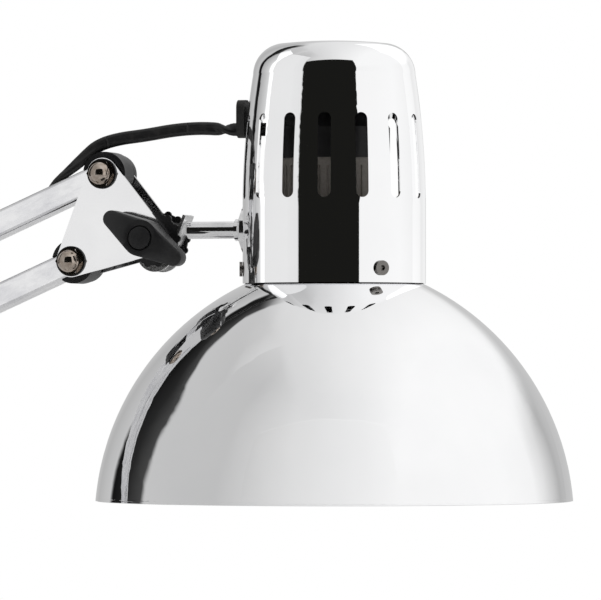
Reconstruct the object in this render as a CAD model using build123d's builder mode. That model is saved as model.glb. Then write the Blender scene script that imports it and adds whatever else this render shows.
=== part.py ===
from build123d import *
import os
from math import atan2, cos, degrees, hypot, pi, radians, sin, tan

os.makedirs("parts", exist_ok=True)

# A swing arm desk lamp, in millimetres. Z is up, the arm works in the XZ plane, the hinges lie along Y,
# the head hangs on the +X side and the side that faces the user is -Y.
# The origin is the centre of the base's underside, on the table.

# Driving dimensions
base_radius = 95
base_height = 24
pad_thickness = 2
lower_bar_length = 360
upper_bar_length = 380
lower_bar_angle = 115
upper_bar_angle = 23.7
bar_height = 10
bar_width = 12
bar_wall = 1.2
bar_corner = 1.4
tube_setback = 4.5
bolt_radius = 2.5
hinge_gap = 0.05
drum_radius = 8.8
drum_half_width = 5.9
plate_inner = 7.0
plate_thickness = 1.2
plate_corner = 6.3
turret_corner = 9
washer_radius = 6.0
turret_pivot_height = 62
turret_pivot_spread = 17
elbow_shift = (19.0, 24.5)
link_offset = (12.9, 34.6)
knuckle_offset = (20.6, -25.9)
rod_rise = 3.4
rod_radius = 3.4
head_offset = 72.5
cap_rise = 21.2
cap_radius = 36
cap_height = 95.2
cap_wall = 0.8
slot_count = 15
slot_width = 5
slot_height = 33
slot_start = 9.4
shade_depth = 85.3
shade_wall = 0.8
shade_arc_radius = 104.2
shade_arc_centre = (-10.1, -8.8)
cord_radius = 2.25
cord_width = 5.2
cord_thickness = 3.2
spring_radius = 5.2
spring_side = 15.6
spring_reach = 150
slot_distance = 20
coil_mean_radius = 28.5
coil_half_width = 9.5
coil_height = 10.8

# Places that follow from them, as (x, z) in the arm's plane
plate_outer = plate_inner + plate_thickness
lower_along = (cos(radians(lower_bar_angle)), sin(radians(lower_bar_angle)))
upper_along = (cos(radians(upper_bar_angle)), sin(radians(upper_bar_angle)))


def shifted(point, step, scale=1.0):
    """A point moved by a multiple of a step, both as (x, z)."""
    return (point[0] + step[0] * scale, point[1] + step[1] * scale)


def square_to(along):
    """The direction a quarter turn anticlockwise from one along a bar."""
    return (-along[1], along[0])


rear_foot = (-turret_pivot_spread, turret_pivot_height)
front_foot = (turret_pivot_spread, turret_pivot_height)
rear_elbow = shifted(rear_foot, lower_along, lower_bar_length)
front_elbow = shifted(front_foot, lower_along, lower_bar_length)
link_elbow = shifted(rear_elbow, elbow_shift)
arm_elbow = shifted(link_elbow, link_offset)
link_head = shifted(link_elbow, upper_along, upper_bar_length)
arm_head = shifted(arm_elbow, upper_along, upper_bar_length)
knuckle = shifted(arm_head, knuckle_offset)
rod_height = knuckle[1] + rod_rise
head_x = knuckle[0] + head_offset
cap_base = rod_height - cap_rise
rim_height = cap_base - shade_depth


def add_pin(centre, radius, y_front, y_back, mode=Mode.ADD):
    """Adds a round bar along the hinge direction, from y_front to y_back, to the current part."""
    with BuildSketch(Plane.XZ.offset(-y_back)) as disc:
        with Locations(centre):
            Circle(radius)
    extrude(disc.sketch, amount=y_back - y_front, mode=mode)


def add_hexagon(centre, flat_radius, y_front, y_back):
    """Adds a hexagonal nut's body along the hinge direction to the current part."""
    with BuildSketch(Plane.XZ.offset(-y_back)) as hexagon:
        with Locations(centre):
            RegularPolygon(flat_radius, 6, major_radius=False)
    extrude(hexagon.sketch, amount=y_back - y_front)


def add_plate(corners, radius, y_front, y_back):
    """Adds a flat plate with rounded corners, square to the hinges, to the current part."""
    with BuildSketch(Plane.XZ.offset(-y_back)) as outline:
        with BuildLine():
            for corner in corners:
                CenterArc(corner, radius, 0, 360)
        make_hull()
    extrude(outline.sketch, amount=y_back - y_front)


def bar_plane(pivot, along):
    """A plane along a bar: X runs along the bar, Z stands square to its top face."""
    normal = square_to(along)
    origin = (pivot[0], 0, pivot[1])
    return Plane(origin=origin, x_dir=(along[0], 0, along[1]), z_dir=(normal[0], 0, normal[1]))


def square_tube(pivot, along, length, slots):
    """A square tube between two pivots, cut short at both ends, with slots for the cord.
    Each slot is (distance from the first pivot, +1 for the top face or -1 for the bottom one)."""
    start = (pivot[0] + along[0] * tube_setback, 0, pivot[1] + along[1] * tube_setback)
    section = Plane(origin=start, x_dir=(0, 1, 0), z_dir=(along[0], 0, along[1]))
    with BuildPart() as tube:
        with BuildSketch(section):
            RectangleRounded(bar_width, bar_height, bar_corner)
            RectangleRounded(bar_width - 2 * bar_wall, bar_height - 2 * bar_wall, 0.4, mode=Mode.SUBTRACT)
        extrude(amount=length - 2 * tube_setback)
        for distance, side in slots:
            with BuildSketch(bar_plane(pivot, along)) as slot:
                with Locations((distance, 0)):
                    SlotOverall(16, cord_width + 1.2)
            extrude(slot.sketch, amount=side * bar_height, mode=Mode.SUBTRACT)
    return tube.part


def end_drums(pivots):
    """The moulded round ends of one tube: a drum about each pivot, cut back where the tube sits in it."""
    with BuildPart() as drums:
        for pivot, inward in pivots:
            add_pin(pivot, drum_radius, -drum_half_width, drum_half_width)
        for pivot, inward in pivots:
            add_pin(pivot, bolt_radius + hinge_gap, -drum_half_width, drum_half_width, mode=Mode.SUBTRACT)
            start = (pivot[0] + inward[0] * tube_setback, 0, pivot[1] + inward[1] * tube_setback)
            with BuildSketch(Plane(origin=start, x_dir=(0, 1, 0), z_dir=(inward[0], 0, inward[1]))) as cut:
                Rectangle(bar_width + 0.1, bar_height)
            extrude(cut.sketch, amount=drum_radius, mode=Mode.SUBTRACT)
            with BuildSketch(Plane(origin=start, x_dir=(0, 1, 0), z_dir=(inward[0], 0, inward[1]))) as tongue:
                Rectangle(bar_width - 2 * bar_wall - 0.4, bar_height - 2 * bar_wall - 0.4)
            extrude(tongue.sketch, amount=6)
    return drums.part


def inner_lead(pivot, along, start, stop):
    """The stretch of flat cord that lies inside a tube."""
    begin = (pivot[0] + along[0] * start, 0, pivot[1] + along[1] * start)
    with BuildPart() as lead:
        with BuildSketch(Plane(origin=begin, x_dir=(0, 1, 0), z_dir=(along[0], 0, along[1]))):
            RectangleRounded(cord_width, cord_thickness, 1.5)
        extrude(amount=stop - start)
    return lead.part


def arc_through_pole(radius, height_at_edge, height_at_pole):
    """A crown's arc from its edge to its pole, with its centre on the axis, as (edge, middle, pole)."""
    rise = height_at_pole - height_at_edge
    sphere = (radius**2 + rise**2) / (2 * abs(rise))
    sign = 1 if rise > 0 else -1
    middle = height_at_pole - sign * (sphere - (sphere**2 - radius**2 / 4) ** 0.5)
    return ((radius, height_at_edge), (radius / 2, middle), (0, height_at_pole))


def corner_radii(points):
    """The largest arc for each corner of a cord's route: 0.45 of its shorter run over the half turn's tangent."""
    radii = []
    for before, here, after in zip(points, points[1:], points[2:]):
        run_in = Vector(*here) - Vector(*before)
        run_out = Vector(*after) - Vector(*here)
        turn = run_in.get_angle(run_out)
        shorter = min(run_in.length, run_out.length)
        radii.append(0.45 * shorter / tan(radians(turn / 2)))
    return radii


def cord_tube(points, name, largest=400.0):
    """A round tube of the cord's section along a route of straight runs and tangent arcs."""
    radii = [min(radius, largest) for radius in corner_radii(points)]
    with BuildPart() as tube:
        with BuildLine() as route:
            FilletPolyline(*points, radius=radii)
        with BuildSketch(Plane(origin=route.line @ 0, z_dir=route.line % 0)):
            Circle(cord_radius)
        sweep()
    length = sum(edge.length for edge in route.line.edges())
    ratio = tube.part.volume / (pi * cord_radius**2 * length)
    print(name, "length", round(length, 1), "radii", [round(radius) for radius in radii], "fill", round(ratio, 4))
    return tube.part


def spring_body(post, hook):
    """A tension spring's envelope between two posts, one each side of the arm: a round body with wire ends."""
    span = (hook[0] - post[0], hook[1] - post[1])
    length = hypot(*span)
    along = (span[0] / length, span[1] / length)
    with BuildPart() as springs:
        for side in (-spring_side, spring_side):
            stretches = ((3.4, 24, 0.7), (24, length - 18, spring_radius), (length - 18, length - 2.8, 0.7))
            for start, stop, radius in stretches:
                begin = (post[0] + along[0] * start, side, post[1] + along[1] * start)
                with BuildSketch(Plane(origin=begin, z_dir=(along[0], 0, along[1]))) as ring:
                    Circle(radius)
                extrude(ring.sketch, amount=stop - start)
    return springs.part


# ---------------------------------------------------------------- base

# Anti-slip pad: a flat rubber disc glued under the iron weight.
pad_radius = 90
with BuildPart() as base_pad:
    with BuildSketch(Plane.XY):
        Circle(pad_radius)
    extrude(amount=pad_thickness)
base_pad.part.label = "base_pad"
export_step(base_pad.part, "parts/base_pad.step")

# Cast iron weight: fills the cover, with a channel below for the cord and a pocket for the socket's nut.
weight_radius = 92
weight_shoulder = 10
socket_radius = 9
lead_height = 5.5
with BuildPart() as base_weight:
    with BuildSketch(Plane.XZ):
        with BuildLine():
            Polyline(
                (0, pad_thickness),
                (weight_radius, pad_thickness),
                (weight_radius, weight_shoulder),
                (82, 18.1),
                (15, 22.3),
                (0, 22.3),
                close=True,
            )
        make_face()
    revolve(axis=Axis.Z)
    with BuildSketch(Plane.XY.offset(pad_thickness)):
        Circle(14.5)
    extrude(amount=12, mode=Mode.SUBTRACT)
    with BuildSketch(Plane.XY.offset(pad_thickness)):
        Circle(socket_radius + 0.05)
    extrude(amount=base_height, mode=Mode.SUBTRACT)
    with BuildSketch(Plane.XY.offset(pad_thickness)):
        with Locations((-weight_radius / 2, 0)):
            Rectangle(weight_radius, 8)
    extrude(amount=7, mode=Mode.SUBTRACT)
base_weight.part.label = "base_weight"
export_step(base_weight.part, "parts/base_weight.step")

# Spun steel cover, open below, with a hole for the socket and one for the gland.
cover_wall = 1.2
cover_foot = 1.0
gland_hole_radius = 3.8
with BuildPart() as base_cover:
    with BuildSketch(Plane.XZ):
        with BuildLine():
            Line((base_radius, cover_foot), (base_radius, weight_shoulder))
            TangentArc((base_radius, weight_shoulder), (84, 19.6), tangent=(0, 1))
            Line((84, 19.6), (16, base_height))
            Line((16, base_height), (socket_radius + 0.05, base_height))
            Line((socket_radius + 0.05, base_height), (socket_radius + 0.05, base_height - cover_wall))
            Line((socket_radius + 0.05, base_height - cover_wall), (16, base_height - cover_wall))
            Line((16, base_height - cover_wall), (83.7, 18.4))
            TangentArc((base_radius - cover_wall, weight_shoulder), (83.7, 18.4), tangent=(0, 1))
            Line((base_radius - cover_wall, weight_shoulder), (base_radius - cover_wall, cover_foot))
            Line((base_radius - cover_wall, cover_foot), (base_radius, cover_foot))
        make_face()
    revolve(axis=Axis.Z)
    with BuildSketch(Plane.YZ.offset(-base_radius - 1)):
        with Locations((0, lead_height)):
            Circle(gland_hole_radius)
    extrude(amount=8, mode=Mode.SUBTRACT)
base_cover.part.label = "base_cover"
export_step(base_cover.part, "parts/base_cover.step")

# Flanged socket that the arm's spindle turns in, clamped through the weight by a nut.
spindle_radius = 6.4
socket_top = 44
with BuildPart() as base_socket:
    with BuildSketch(Plane.XY.offset(9)):
        Circle(socket_radius)
    extrude(amount=socket_top - 9)
    with BuildSketch(Plane.XY.offset(base_height)):
        Circle(16)
    extrude(amount=3)
    chamfer(base_socket.edges().group_by(Axis.Z)[-1], 0.6)
    with BuildSketch(Plane.XY.offset(9)):
        Circle(spindle_radius + hinge_gap)
    extrude(amount=socket_top - 9, mode=Mode.SUBTRACT)
base_socket.part.label = "base_socket"
export_step(base_socket.part, "parts/base_socket.step")

with BuildPart() as base_nut:
    with BuildSketch(Plane.XY.offset(9)):
        RegularPolygon(11.8, 6, major_radius=False)
        Circle(socket_radius, mode=Mode.SUBTRACT)
    extrude(amount=4.9)
base_nut.part.label = "base_nut"
export_step(base_nut.part, "parts/base_nut.step")

# Rubber gland: a tapered strain relief held in the cover's rear wall, with the cord through it.
gland_end = 117
with BuildPart() as cord_gland:
    with BuildSketch(Plane.XZ):
        with BuildLine():
            Polyline(
                (-92.3, lead_height + cord_radius + 0.05),
                (-92.3, lead_height + gland_hole_radius - 0.05),
                (-base_radius, lead_height + gland_hole_radius - 0.05),
                (-base_radius, lead_height + 5.2),
                (-97, lead_height + 5.2),
                (-98.5, lead_height + 4.6),
                (-gland_end, lead_height + 3.1),
                (-gland_end, lead_height + cord_radius + 0.05),
                close=True,
            )
        make_face()
    revolve(axis=Axis((0, 0, lead_height), (1, 0, 0)))
cord_gland.part.label = "cord_gland"
export_step(cord_gland.part, "parts/cord_gland.step")

# Cord inside the base: down out of the spindle, round a bend and out through the gland.
with BuildPart() as lead_in_base:
    with BuildLine() as base_route:
        FilletPolyline((0, 0, 13), (0, 0, lead_height), (-gland_end, 0, lead_height), radius=5)
    with BuildSketch(Plane(origin=base_route.line @ 0, z_dir=base_route.line % 0)):
        Circle(cord_radius)
    sweep()
lead_in_base.part.label = "lead_in_base"
export_step(lead_in_base.part, "parts/lead_in_base.step")

# ---------------------------------------------------------------- turret

# Hollow spindle with a block head that the turret plates are pressed to.
spindle_bore = 3.2
block_foot = socket_top + 0.1
block_top = 51
with BuildPart() as base_spindle:
    with BuildSketch(Plane.XY.offset(13.5)):
        Circle(spindle_radius)
    extrude(amount=block_foot - 13.5)
    with BuildSketch(Plane.XY.offset(block_foot)):
        RectangleRounded(36, 2 * plate_inner, 2)
    extrude(amount=block_top - block_foot)
    with BuildSketch(Plane.XY.offset(13.5)):
        Circle(spindle_bore)
    extrude(amount=block_top - 13.5, mode=Mode.SUBTRACT)
base_spindle.part.label = "base_spindle"
export_step(base_spindle.part, "parts/base_spindle.step")

with BuildPart() as turret_plates:
    for y_front in (-plate_outer, plate_inner):
        add_plate(
            [rear_foot, front_foot, (-9, block_foot + turret_corner), (9, block_foot + turret_corner)],
            turret_corner,
            y_front,
            y_front + plate_thickness,
        )
    for foot in (rear_foot, front_foot):
        add_pin(foot, bolt_radius, -plate_outer, plate_outer, mode=Mode.SUBTRACT)
turret_plates.part.label = "turret_plates"
export_step(turret_plates.part, "parts/turret_plates.step")


def pivot_bolts(pivots, long_pivot):
    """Hinge bolts with nuts, as one group. The long one reaches out each side as a post for the springs."""
    with BuildPart() as bolts:
        for pivot in pivots:
            reach = spring_side + 3.4 if pivot == long_pivot else plate_outer + 6
            add_pin(pivot, bolt_radius, -reach, reach)
            for y_front in (-plate_outer - 4, plate_outer):
                add_hexagon(pivot, 4.5, y_front, y_front + 4)
            if pivot == long_pivot:
                for y_front in (-spring_side - 3.4, spring_side + 2.2):
                    add_pin(pivot, 3.6, y_front, y_front + 1.2)
    return bolts.part


turret_bolts = pivot_bolts([rear_foot, front_foot], front_foot)
turret_bolts.label = "turret_bolts"
export_step(turret_bolts, "parts/turret_bolts.step")

with BuildPart() as lead_in_spindle:
    with BuildSketch(Plane.XY.offset(13)):
        Circle(cord_radius)
    extrude(amount=block_top - 13)
lead_in_spindle.part.label = "lead_in_spindle"
export_step(lead_in_spindle.part, "parts/lead_in_spindle.step")

# ---------------------------------------------------------------- lower arm

foot_slot = 30


def arm_bar(pivot, along, length, slots, spring_studs):
    """A tube between two pivots, with an optional stud on each side that a spring hooks on."""
    tube = square_tube(pivot, along, length, slots)
    with BuildPart() as bar:
        add(tube)
        if spring_studs:
            place = shifted(pivot, along, spring_reach)
            add_pin(place, 2, -spring_side - 3.4, -bar_width / 2)
            add_pin(place, 2, bar_width / 2, spring_side + 3.4)
            for y_front in (-spring_side - 3.4, spring_side + 2.2):
                add_pin(place, 3.2, y_front, y_front + 1.2)
    return bar.part


lower_back = (-lower_along[0], -lower_along[1])
upper_back = (-upper_along[0], -upper_along[1])

lower_bar = arm_bar(
    rear_foot,
    lower_along,
    lower_bar_length,
    [(foot_slot + 5, -1), (lower_bar_length - slot_distance - 3, 1)],
    True,
)
lower_bar.label = "lower_bar"
export_step(lower_bar, "parts/lower_bar.step")

lower_link_bar = arm_bar(front_foot, lower_along, lower_bar_length, [], False)
lower_link_bar.label = "lower_link_bar"
export_step(lower_link_bar, "parts/lower_link_bar.step")

lower_bar_ends = end_drums([(rear_foot, lower_along), (rear_elbow, lower_back)])
lower_bar_ends.label = "lower_bar_ends"
export_step(lower_bar_ends, "parts/lower_bar_ends.step")

lower_link_ends = end_drums([(front_foot, lower_along), (front_elbow, lower_back)])
lower_link_ends.label = "lower_link_ends"
export_step(lower_link_ends, "parts/lower_link_ends.step")

# ---------------------------------------------------------------- elbow

with BuildPart() as elbow_plates:
    for y_front in (-plate_outer, plate_inner):
        add_plate([rear_elbow, front_elbow, arm_elbow, link_elbow], turret_corner, y_front, y_front + plate_thickness)
    for pivot in (rear_elbow, front_elbow, arm_elbow, link_elbow):
        add_pin(pivot, bolt_radius, -plate_outer, plate_outer, mode=Mode.SUBTRACT)
elbow_plates.part.label = "elbow_plates"
export_step(elbow_plates.part, "parts/elbow_plates.step")

elbow_bolts = pivot_bolts([rear_elbow, front_elbow, link_elbow, arm_elbow], arm_elbow)
elbow_bolts.label = "elbow_bolts"
export_step(elbow_bolts, "parts/elbow_bolts.step")

# ---------------------------------------------------------------- upper arm

upper_bar = arm_bar(
    arm_elbow,
    upper_along,
    upper_bar_length,
    [(slot_distance + 3, 1), (upper_bar_length - slot_distance - 3, 1)],
    False,
)
upper_bar.label = "upper_bar"
export_step(upper_bar, "parts/upper_bar.step")

upper_link_bar = arm_bar(link_elbow, upper_along, upper_bar_length, [], True)
upper_link_bar.label = "upper_link_bar"
export_step(upper_link_bar, "parts/upper_link_bar.step")

upper_bar_ends = end_drums([(arm_elbow, upper_along), (arm_head, upper_back)])
upper_bar_ends.label = "upper_bar_ends"
export_step(upper_bar_ends, "parts/upper_bar_ends.step")

upper_link_ends = end_drums([(link_elbow, upper_along), (link_head, upper_back)])
upper_link_ends.label = "upper_link_ends"
export_step(upper_link_ends, "parts/upper_link_ends.step")

# ---------------------------------------------------------------- head bracket

clamp_radius = 3
with BuildPart() as head_plates:
    for y_front in (-plate_outer, plate_inner):
        add_plate([arm_head, link_head, knuckle], plate_corner, y_front, y_front + plate_thickness)
    for pivot in (arm_head, link_head):
        add_pin(pivot, bolt_radius, -plate_outer, plate_outer, mode=Mode.SUBTRACT)
    add_pin(knuckle, clamp_radius, -plate_outer, plate_outer, mode=Mode.SUBTRACT)
head_plates.part.label = "head_plates"
export_step(head_plates.part, "parts/head_plates.step")

washer_thickness = 0.8
with BuildPart() as nut_washers:
    for pivot in (arm_head, link_head):
        add_pin(pivot, washer_radius, -plate_outer - washer_thickness, -plate_outer)
        add_pin(pivot, bolt_radius, -plate_outer - washer_thickness, -plate_outer, mode=Mode.SUBTRACT)
nut_washers.part.label = "nut_washers"
export_step(nut_washers.part, "parts/nut_washers.step")

# Domed nuts on the user's side: a hexagon, a thin flange and a round crown.
nut_back = -plate_outer - washer_thickness
crown_radius = 4.4
with BuildPart() as dome_nuts:
    for pivot in (arm_head, link_head):
        add_pin(pivot, 5.4, nut_back - 0.8, nut_back)
        add_hexagon(pivot, 4.7, nut_back - 3, nut_back - 0.8)
        with BuildSketch(Plane(origin=(pivot[0], 0, pivot[1]), x_dir=(1, 0, 0), z_dir=(0, 0, 1))) as crown:
            with BuildLine():
                Line((0, nut_back - 3), (crown_radius, nut_back - 3))
                Line((crown_radius, nut_back - 3), (crown_radius, nut_back - 3.4))
                ThreePointArc(*arc_through_pole(crown_radius, nut_back - 3.4, nut_back - 6.6))
                Line((0, nut_back - 6.6), (0, nut_back - 3))
            make_face()
        revolve(crown.sketch, axis=Axis((pivot[0], 0, pivot[1]), (0, 1, 0)))
        add_pin(pivot, bolt_radius, nut_back - 3, nut_back, mode=Mode.SUBTRACT)
dome_nuts.part.label = "dome_nuts"
export_step(dome_nuts.part, "parts/dome_nuts.step")

with BuildPart() as head_bolts:
    for pivot in (arm_head, link_head):
        add_pin(pivot, bolt_radius, nut_back - 3, plate_outer + 2.4)
head_bolts.part.label = "head_bolts"
export_step(head_bolts.part, "parts/head_bolts.step")

# Black moulded caps behind the far plate, one about each bolt's end.
with BuildPart() as bolt_caps:
    for pivot in (arm_head, link_head):
        add_pin(pivot, 8.2, plate_outer, plate_outer + 4)
        add_pin(pivot, bolt_radius, plate_outer, plate_outer + 2.4, mode=Mode.SUBTRACT)
    chamfer(bolt_caps.edges().group_by(Axis.Y)[-1], 0.8)
bolt_caps.part.label = "bolt_caps"
export_step(bolt_caps.part, "parts/bolt_caps.step")

# Toothed friction discs each side of the yoke, and a plain one between its ears.
tooth_count = 14
disc_radius = 11.4
ear_outer = 5.8
ear_thickness = 1.2
ear_inner = ear_outer - ear_thickness
with BuildPart() as knuckle_discs:
    for y_front in (-plate_inner, ear_outer + 0.1):
        add_pin(knuckle, disc_radius - 1, y_front, y_front + plate_inner - ear_outer - 0.1)
        for tooth in range(tooth_count):
            turn = 2 * pi * tooth / tooth_count
            place = shifted(knuckle, (cos(turn), sin(turn)), disc_radius - 1.4)
            add_pin(place, 1.4, y_front, y_front + plate_inner - ear_outer - 0.1)
    add_pin(knuckle, 6.2, -ear_inner + 0.1, ear_inner - 0.1)
    add_pin(knuckle, clamp_radius, -plate_inner, plate_inner, mode=Mode.SUBTRACT)
knuckle_discs.part.label = "knuckle_discs"
export_step(knuckle_discs.part, "parts/knuckle_discs.step")

# Clamp bolt: domed head behind, thread in front for the wing knob.
knob_back = -plate_outer - 1.4
knob_front = -27
with BuildPart() as clamp_bolt:
    add_pin(knuckle, clamp_radius, knob_front + 5, plate_outer)
    add_pin(knuckle, 6.5, plate_outer, plate_outer + 2.6)
    fillet(clamp_bolt.edges().group_by(Axis.Y)[-1], 2)
clamp_bolt.part.label = "clamp_bolt"
export_step(clamp_bolt.part, "parts/clamp_bolt.step")

# Wing knob: two blunt wings that rise off a round hub, set on a slant, with a raised cap at the middle.
wing_length = 19.3
wing_slant = -38
wing_dir = (cos(radians(wing_slant)), sin(radians(wing_slant)))
with BuildPart() as wing_knob:
    add_pin(knuckle, 8.4, knob_front + 1.4, knob_back)
    for side in (-1, 1):
        tip = shifted(knuckle, wing_dir, side * (wing_length - 4.5))
        bulge = shifted(knuckle, square_to(wing_dir), side * 2.5)
        add_plate([bulge, tip], 4.5, knob_front + 3.4, knob_front + 11.4)
    add_pin(knuckle, 6.2, knob_front, knob_front + 2)
    add_pin(knuckle, clamp_radius + hinge_gap, knob_front + 4, knob_back, mode=Mode.SUBTRACT)
wing_knob.part.label = "wing_knob"
export_step(wing_knob.part, "parts/wing_knob.step")

# ---------------------------------------------------------------- yoke

# Folded zinc sheet: two ears on the clamp bolt and a slanted web that the rod is riveted to.
web_top = shifted(knuckle, (12.6, 9.3))
web_foot = shifted(knuckle, (7.9, -2.6))
web_middle = ((web_top[0] + web_foot[0]) / 2, (web_top[1] + web_foot[1]) / 2)
web_height = hypot(web_top[0] - web_foot[0], web_top[1] - web_foot[1])
web_tilt = atan2(web_top[1] - web_foot[1], web_top[0] - web_foot[0])
with BuildPart() as rod_yoke:
    for y_front in (-ear_outer, ear_inner):
        add_plate([knuckle, shifted(knuckle, (0.4, -5.6))], 7.4, y_front, y_front + ear_thickness)
        add_plate([knuckle, shifted(knuckle, (5.6, 2.0))], 4.6, y_front, y_front + ear_thickness)
    with BuildSketch(Plane.XZ.offset(-ear_outer)):
        with Locations(web_middle):
            Rectangle(web_height, ear_thickness, rotation=degrees(web_tilt))
    extrude(amount=2 * ear_outer)
    add_pin(knuckle, clamp_radius + hinge_gap, -ear_outer, ear_outer, mode=Mode.SUBTRACT)
rod_yoke.part.label = "rod_yoke"
export_step(rod_yoke.part, "parts/rod_yoke.step")

# ---------------------------------------------------------------- head

cap_left = head_x - cap_radius
rod_start = web_top[0] + 0.2
rod_stop = cap_left + 9
with BuildPart() as head_rod:
    with BuildSketch(Plane.YZ.offset(rod_start)):
        with Locations((0, rod_height)):
            Circle(rod_radius)
    extrude(amount=cap_left - rod_start)
    with BuildSketch(Plane.YZ.offset(cap_left)):
        with Locations((0, rod_height)):
            Circle(rod_radius - 0.4)
    extrude(amount=rod_stop - cap_left)
head_rod.part.label = "head_rod"
export_step(head_rod.part, "parts/head_rod.step")

# Shallow conical washer between the rod's shoulder and the cap, with a collar.
flange_radius = 10.2
with BuildPart() as rod_flange:
    with BuildSketch(Plane.XZ):
        with BuildLine():
            Polyline(
                (cap_left - 4.2, rod_height + rod_radius),
                (cap_left - 4.2, rod_height + rod_radius + 0.9),
                (cap_left - 2.8, rod_height + rod_radius + 0.9),
                (cap_left - 0.1, rod_height + flange_radius),
                (cap_left + 1.4, rod_height + flange_radius),
                (cap_left - 0.3, rod_height + rod_radius),
                close=True,
            )
        make_face()
    revolve(axis=Axis((0, 0, rod_height), (1, 0, 0)))
    with BuildSketch(Plane.XY.offset(cap_base)):
        with Locations((head_x, 0)):
            Circle(cap_radius)
    extrude(amount=2 * cap_rise, mode=Mode.SUBTRACT)
rod_flange.part.label = "rod_flange"
export_step(rod_flange.part, "parts/rod_flange.step")

nut_start = cap_left + 2.2
with BuildPart() as rod_nut:
    with BuildSketch(Plane.YZ.offset(nut_start)):
        with Locations((0, rod_height)):
            RegularPolygon(5.5, 6, major_radius=False)
            Circle(rod_radius - 0.4, mode=Mode.SUBTRACT)
    extrude(amount=4)
rod_nut.part.label = "rod_nut"
export_step(rod_nut.part, "parts/rod_nut.step")


def cap_profile(inset):
    """The half section of the cap's outside, or of its inside when inset by the wall."""
    with BuildSketch(Plane.XZ) as half:
        with BuildLine():
            Line((0, 0), (cap_radius - inset, 0))
            Line((cap_radius - inset, 0), (cap_radius - inset, 30))
            TangentArc((cap_radius - inset, 30), (31.9 - inset, 82 - inset / 2), tangent=(0, 1))
            ThreePointArc(
                (31.9 - inset, 82 - inset / 2), (29.2 - 0.75 * inset, 89.6 - 0.75 * inset), (22.5, 93.9 - inset)
            )
            ThreePointArc(*arc_through_pole(22.5, 93.9 - inset, cap_height - inset))
            Line((0, cap_height - inset), (0, 0))
        make_face()
    return half.sketch.moved(Location((head_x, 0, cap_base)))


slot_middle = cap_base + 49.5
grommet_height = cap_base + 64.4
cord_exit_height = grommet_height - 3.6
screw_height = cap_base + 5.6
screw_turns = (46, 166, 286)
screw_radius = 1.5
with BuildPart() as head_cap:
    revolve(cap_profile(0), axis=Axis((head_x, 0, 0), (0, 0, 1)))
    revolve(cap_profile(cap_wall), axis=Axis((head_x, 0, 0), (0, 0, 1)), mode=Mode.SUBTRACT)
    for slot in range(slot_count):
        turn = slot_start + slot * 360 / slot_count
        if abs(turn - 270) > 20:
            outward = (sin(radians(turn)), -cos(radians(turn)), 0)
            face = Plane(origin=(head_x, 0, slot_middle), x_dir=(0, 0, 1), z_dir=outward)
            with BuildSketch(face) as window:
                SlotOverall(slot_height, slot_width)
            extrude(window.sketch, amount=cap_radius + 5, mode=Mode.SUBTRACT)
    with BuildSketch(Plane.YZ.offset(cap_left - 3)):
        with Locations((0, grommet_height - 0.6)):
            SlotOverall(12.4, 6.4, rotation=90)
        with Locations((0, rod_height)):
            Circle(rod_radius - 0.3)
    extrude(amount=8, mode=Mode.SUBTRACT)
    for turn in screw_turns:
        side = Plane(origin=(head_x, 0, screw_height), z_dir=(sin(radians(turn)), -cos(radians(turn)), 0))
        with BuildSketch(side) as hole:
            Circle(screw_radius + 0.1)
        extrude(hole.sketch, amount=cap_radius + 5, mode=Mode.SUBTRACT)
head_cap.part.label = "head_cap"
export_step(head_cap.part, "parts/head_cap.step")

# Spun shade: one arc of meridian, a flat crown inside the cap with a hole for the lampholder.
crown_radius_out = 31
crown_height = 87.8
holder_hole = 20.3


def shade_radius(height, inset):
    """The shade's radius at a height above the rim, on its one arc of meridian."""
    return shade_arc_centre[0] + ((shade_arc_radius - inset) ** 2 - (height - shade_arc_centre[1]) ** 2) ** 0.5


shoulder_height = 86.6
with BuildPart() as dome_shade:
    with BuildSketch(Plane.XZ.offset(0)) as meridian:
        with BuildLine():
            ThreePointArc(
                (shade_radius(0, 0), 0),
                (shade_radius(45, 0), 45),
                (shade_radius(shoulder_height, 0), shoulder_height),
            )
            Line((shade_radius(shoulder_height, 0), shoulder_height), (crown_radius_out, crown_height))
            Line((crown_radius_out, crown_height), (holder_hole, crown_height))
            Line((holder_hole, crown_height), (holder_hole, crown_height - shade_wall))
            Line((holder_hole, crown_height - shade_wall), (crown_radius_out - 0.3, crown_height - shade_wall))
            Line(
                (crown_radius_out - 0.3, crown_height - shade_wall),
                (shade_radius(shoulder_height - 0.8, shade_wall), shoulder_height - 0.8),
            )
            ThreePointArc(
                (shade_radius(shoulder_height - 0.8, shade_wall), shoulder_height - 0.8),
                (shade_radius(45, shade_wall), 45),
                (shade_radius(0, shade_wall), 0),
            )
            Line((shade_radius(0, shade_wall), 0), (shade_radius(0, 0), 0))
        make_face()
    revolve(meridian.sketch.moved(Location((head_x, 0, rim_height))), axis=Axis((head_x, 0, 0), (0, 0, 1)))
dome_shade.part.label = "dome_shade"
export_step(dome_shade.part, "parts/dome_shade.step")

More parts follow.
